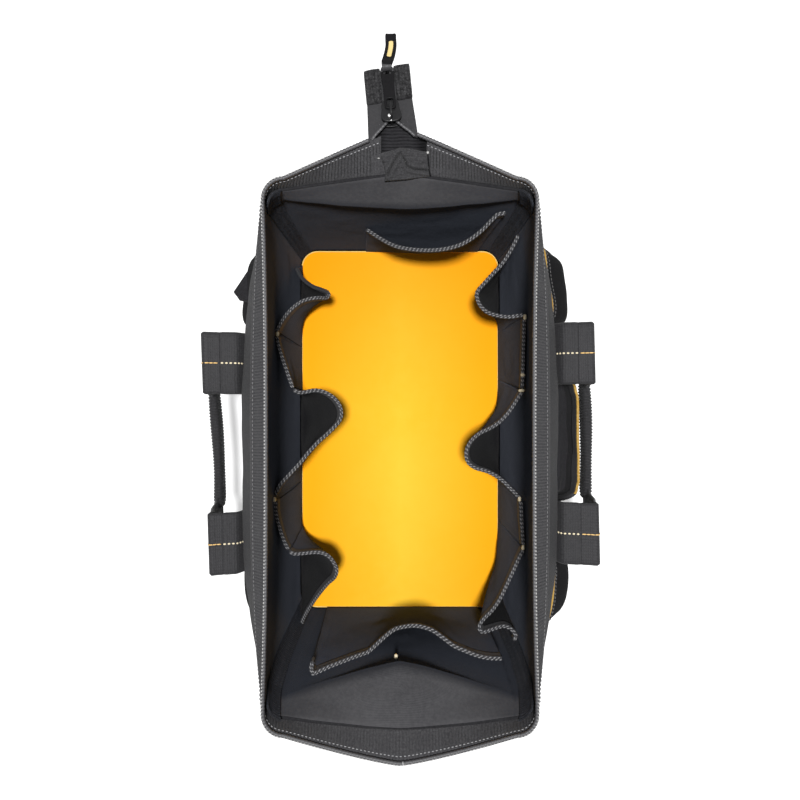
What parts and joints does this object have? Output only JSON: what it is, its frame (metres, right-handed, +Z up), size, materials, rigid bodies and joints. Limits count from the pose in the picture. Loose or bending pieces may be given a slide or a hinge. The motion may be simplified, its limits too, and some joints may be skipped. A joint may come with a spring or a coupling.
{
  "type": "tool bag",
  "caption": "Open-mouth zippered tool bag of black cloth with a yellow floor, pockets inside and outside, webbing handles with wrapped grips, and a zip tab with its slider and pull.",
  "frame": {"origin": "middle of the underside of the base", "axes": "+Z up, +Y along the bag towards the zip tab, +X towards the right-hand long wall"},
  "size_m": [0.3568, 0.5434, 0.2582],
  "materials": {
    "body_cloth": "woven",
    "pocket_cloth": "woven",
    "yellow_cloth": "coated cloth",
    "webbing": "heavy woven webbing",
    "grosgrain": "ribbed binding",
    "yellow_piping": "woven binding",
    "zip_tape_cloth": "ribbed tape",
    "coil_plastic": "moulded coil",
    "board_plastic": "plain",
    "slider_metal": "gloss black enamel",
    "pull_rubber": "satin",
    "bar_plastic": "satin"
  },
  "bodies": {
    "bag": {"base_board": "board_plastic", "base_panel": "body_cloth", "bottom_lining": "yellow_cloth", "corner_binding_left_plain": "grosgrain", "corner_binding_left_tab": "grosgrain", "corner_binding_right_plain": "grosgrain", "corner_binding_right_tab": "grosgrain", "end_wall_plain": "body_cloth", "end_wall_tab": "body_cloth", "inner_pocket_left_1": "pocket_cloth", "inner_pocket_left_2": "pocket_cloth", "inner_pocket_left_3": "pocket_cloth", "inner_pocket_left_4": "pocket_cloth", "inner_pocket_left_5": "pocket_cloth", "inner_pocket_plain_end": "pocket_cloth", "inner_pocket_right_1": "pocket_cloth", "inner_pocket_right_2": "pocket_cloth", "inner_pocket_right_3": "pocket_cloth", "inner_pocket_right_4": "pocket_cloth", "inner_pocket_right_5": "pocket_cloth", "inner_pocket_tab_end": "pocket_cloth", "outer_pocket_left_middle": "pocket_cloth", "outer_pocket_left_plain": "pocket_cloth", "outer_pocket_left_tab": "pocket_cloth", "outer_pocket_right_middle": "pocket_cloth", "outer_pocket_right_plain": "pocket_cloth", "outer_pocket_right_tab": "pocket_cloth", "pocket_piping_left_middle": "yellow_piping", "pocket_piping_left_plain": "yellow_piping", "pocket_piping_left_tab": "yellow_piping", "pocket_piping_right_middle": "yellow_piping", "pocket_piping_right_plain": "yellow_piping", "pocket_piping_right_tab": "yellow_piping", "side_wall_left": "body_cloth", "side_wall_right": "body_cloth", "tab_gusset": "pocket_cloth", "wall_strap_left_plain": "webbing", "wall_strap_left_tab": "webbing", "wall_strap_right_plain": "webbing", "wall_strap_right_tab": "webbing", "zip_coil_left": "coil_plastic", "zip_coil_right": "coil_plastic", "zip_tape_left": "zip_tape_cloth", "zip_tape_right": "zip_tape_cloth"},
    "handle_right_tails": {"handle_tail_right_tab": "webbing", "handle_tail_right_plain": "webbing"},
    "handle_right_loop": {"handle_webbing_right": "webbing", "handle_grip_right": "webbing"},
    "handle_left_tails": {"handle_tail_left_tab": "webbing", "handle_tail_left_plain": "webbing"},
    "handle_left_loop": {"handle_webbing_left": "webbing", "handle_grip_left": "webbing"},
    "zip_tab": {"tab_tapes": "zip_tape_cloth", "tab_coil_left": "coil_plastic", "tab_coil_right": "coil_plastic", "tab_cap": "webbing"},
    "slider": {"zip_slider": "slider_metal"},
    "pull_link_body": {"pull_link": "pull_rubber"},
    "pull_strap_body": {"pull_strap": "pull_rubber", "pull_bar": "bar_plastic"}
  },
  "joints": [
    {"name": "handle_right_raise", "type": "hinge", "parent": "bag", "child": "handle_right_tails", "pos_m": [0.12891, -0.0065, 0.2065], "axis": [0, -1, 0], "range_deg": [0, 85]},
    {"name": "handle_right_bend", "type": "hinge", "parent": "handle_right_tails", "child": "handle_right_loop", "pos_m": [0.1594, -0.0065, 0.21439], "axis": [0, -1, 0], "range_deg": [0, 96.5]},
    {"name": "handle_left_raise", "type": "hinge", "parent": "bag", "child": "handle_left_tails", "pos_m": [-0.12891, -0.0065, 0.2065], "axis": [0, 1, 0], "range_deg": [0, 85]},
    {"name": "handle_left_bend", "type": "hinge", "parent": "handle_left_tails", "child": "handle_left_loop", "pos_m": [-0.1594, -0.0065, 0.21439], "axis": [0, 1, 0], "range_deg": [0, 96.5]},
    {"name": "tab_fold", "type": "hinge", "parent": "bag", "child": "zip_tab", "pos_m": [-0.0051, 0.22828, 0.2493], "axis": [0.9956, 0.0941, 0], "range_deg": [-75, 35]},
    {"name": "slider_travel", "type": "slide", "parent": "zip_tab", "child": "slider", "axis": [0.0936, -0.9901, 0.1045], "range_m": [0, 0.0065]},
    {"name": "pull_link_swing", "type": "hinge", "parent": "slider", "child": "pull_link_body", "pos_m": [-0.00688, 0.24712, 0.25516], "axis": [0.9956, 0.0941, 0], "range_deg": [0, 165]},
    {"name": "pull_strap_swing", "type": "hinge", "parent": "pull_link_body", "child": "pull_strap_body", "pos_m": [-0.0099, 0.2791, 0.25178], "axis": [-0.9956, -0.0941, 0], "range_deg": [-90, 22]}
  ],
  "couplings": [
    {"joint": "handle_right_bend", "follows": "handle_right_raise", "ratio": 1.135},
    {"joint": "handle_left_bend", "follows": "handle_left_raise", "ratio": 1.135}
  ]
}
